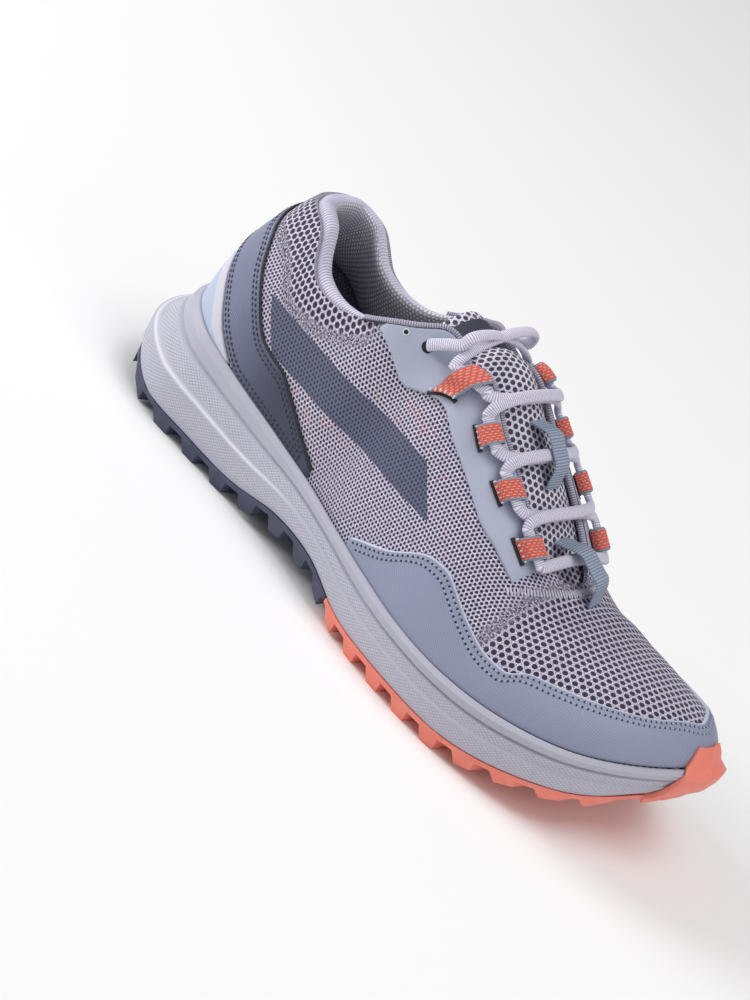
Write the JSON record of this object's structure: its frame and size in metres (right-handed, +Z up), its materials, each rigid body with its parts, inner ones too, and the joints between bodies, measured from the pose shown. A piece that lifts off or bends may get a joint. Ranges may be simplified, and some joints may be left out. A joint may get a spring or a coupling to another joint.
{
  "type": "trail hiking shoe",
  "caption": "Low trail hiking shoe for the right foot: hollow mesh upper with toe rand, heel counter and webbing lace loops on a foam midsole and a lugged rubber outsole.",
  "frame": {"origin": "middle of the box the shoe fills on the floor, on the floor plane", "axes": "+X to the toe, +Y to the inner side of the right foot, +Z up"},
  "size_m": [0.2827, 0.1046, 0.1125],
  "materials": {
    "dark_rubber": "matt moulded rubber, dark slate",
    "coral_rubber": "satin moulded rubber, coral",
    "midsole_foam": "moulded foam, pale lavender grey, fine knurl",
    "insole_foam": "cloth-faced foam",
    "upper_mesh": "open lavender-grey mesh over a lining",
    "collar_knit": "padded ribbed knit",
    "tongue_mesh": "padded mesh",
    "label_film": "plain dark slate film",
    "rand_film": "satin grained film, blue-grey",
    "counter_film": "satin grained film, slate",
    "heel_patch_film": "pale film",
    "eyestay_film": "smooth satin film, pale blue-grey",
    "loop_webbing": "woven coral webbing with grey flecks",
    "lace_knit": "ribbed oval lace",
    "keeper_webbing": "ribbed grey-blue webbing"
  },
  "bodies": {
    "root": {"outsole_heel": "dark_rubber", "outsole_forefoot": "coral_rubber", "midsole": "midsole_foam", "insole": "insole_foam", "upper": "upper_mesh", "collar_cuff": "collar_knit", "tongue": "tongue_mesh", "tongue_label": "label_film", "toe_rand": "rand_film", "heel_counter": "counter_film", "heel_patch": "heel_patch_film", "eyestay_lateral": "eyestay_film", "eyestay_medial": "eyestay_film", "lace_loop_lateral_1": "loop_webbing", "lace_loop_lateral_2": "loop_webbing", "lace_loop_lateral_3": "loop_webbing", "lace_loop_lateral_4": "loop_webbing", "lace_loop_medial_1": "loop_webbing", "lace_loop_medial_2": "loop_webbing", "lace_loop_medial_3": "loop_webbing", "lace_loop_medial_4": "loop_webbing", "laces": "lace_knit", "lace_keeper_tongue": "keeper_webbing", "lace_keeper_base": "keeper_webbing"}
  },
  "joints": []
}
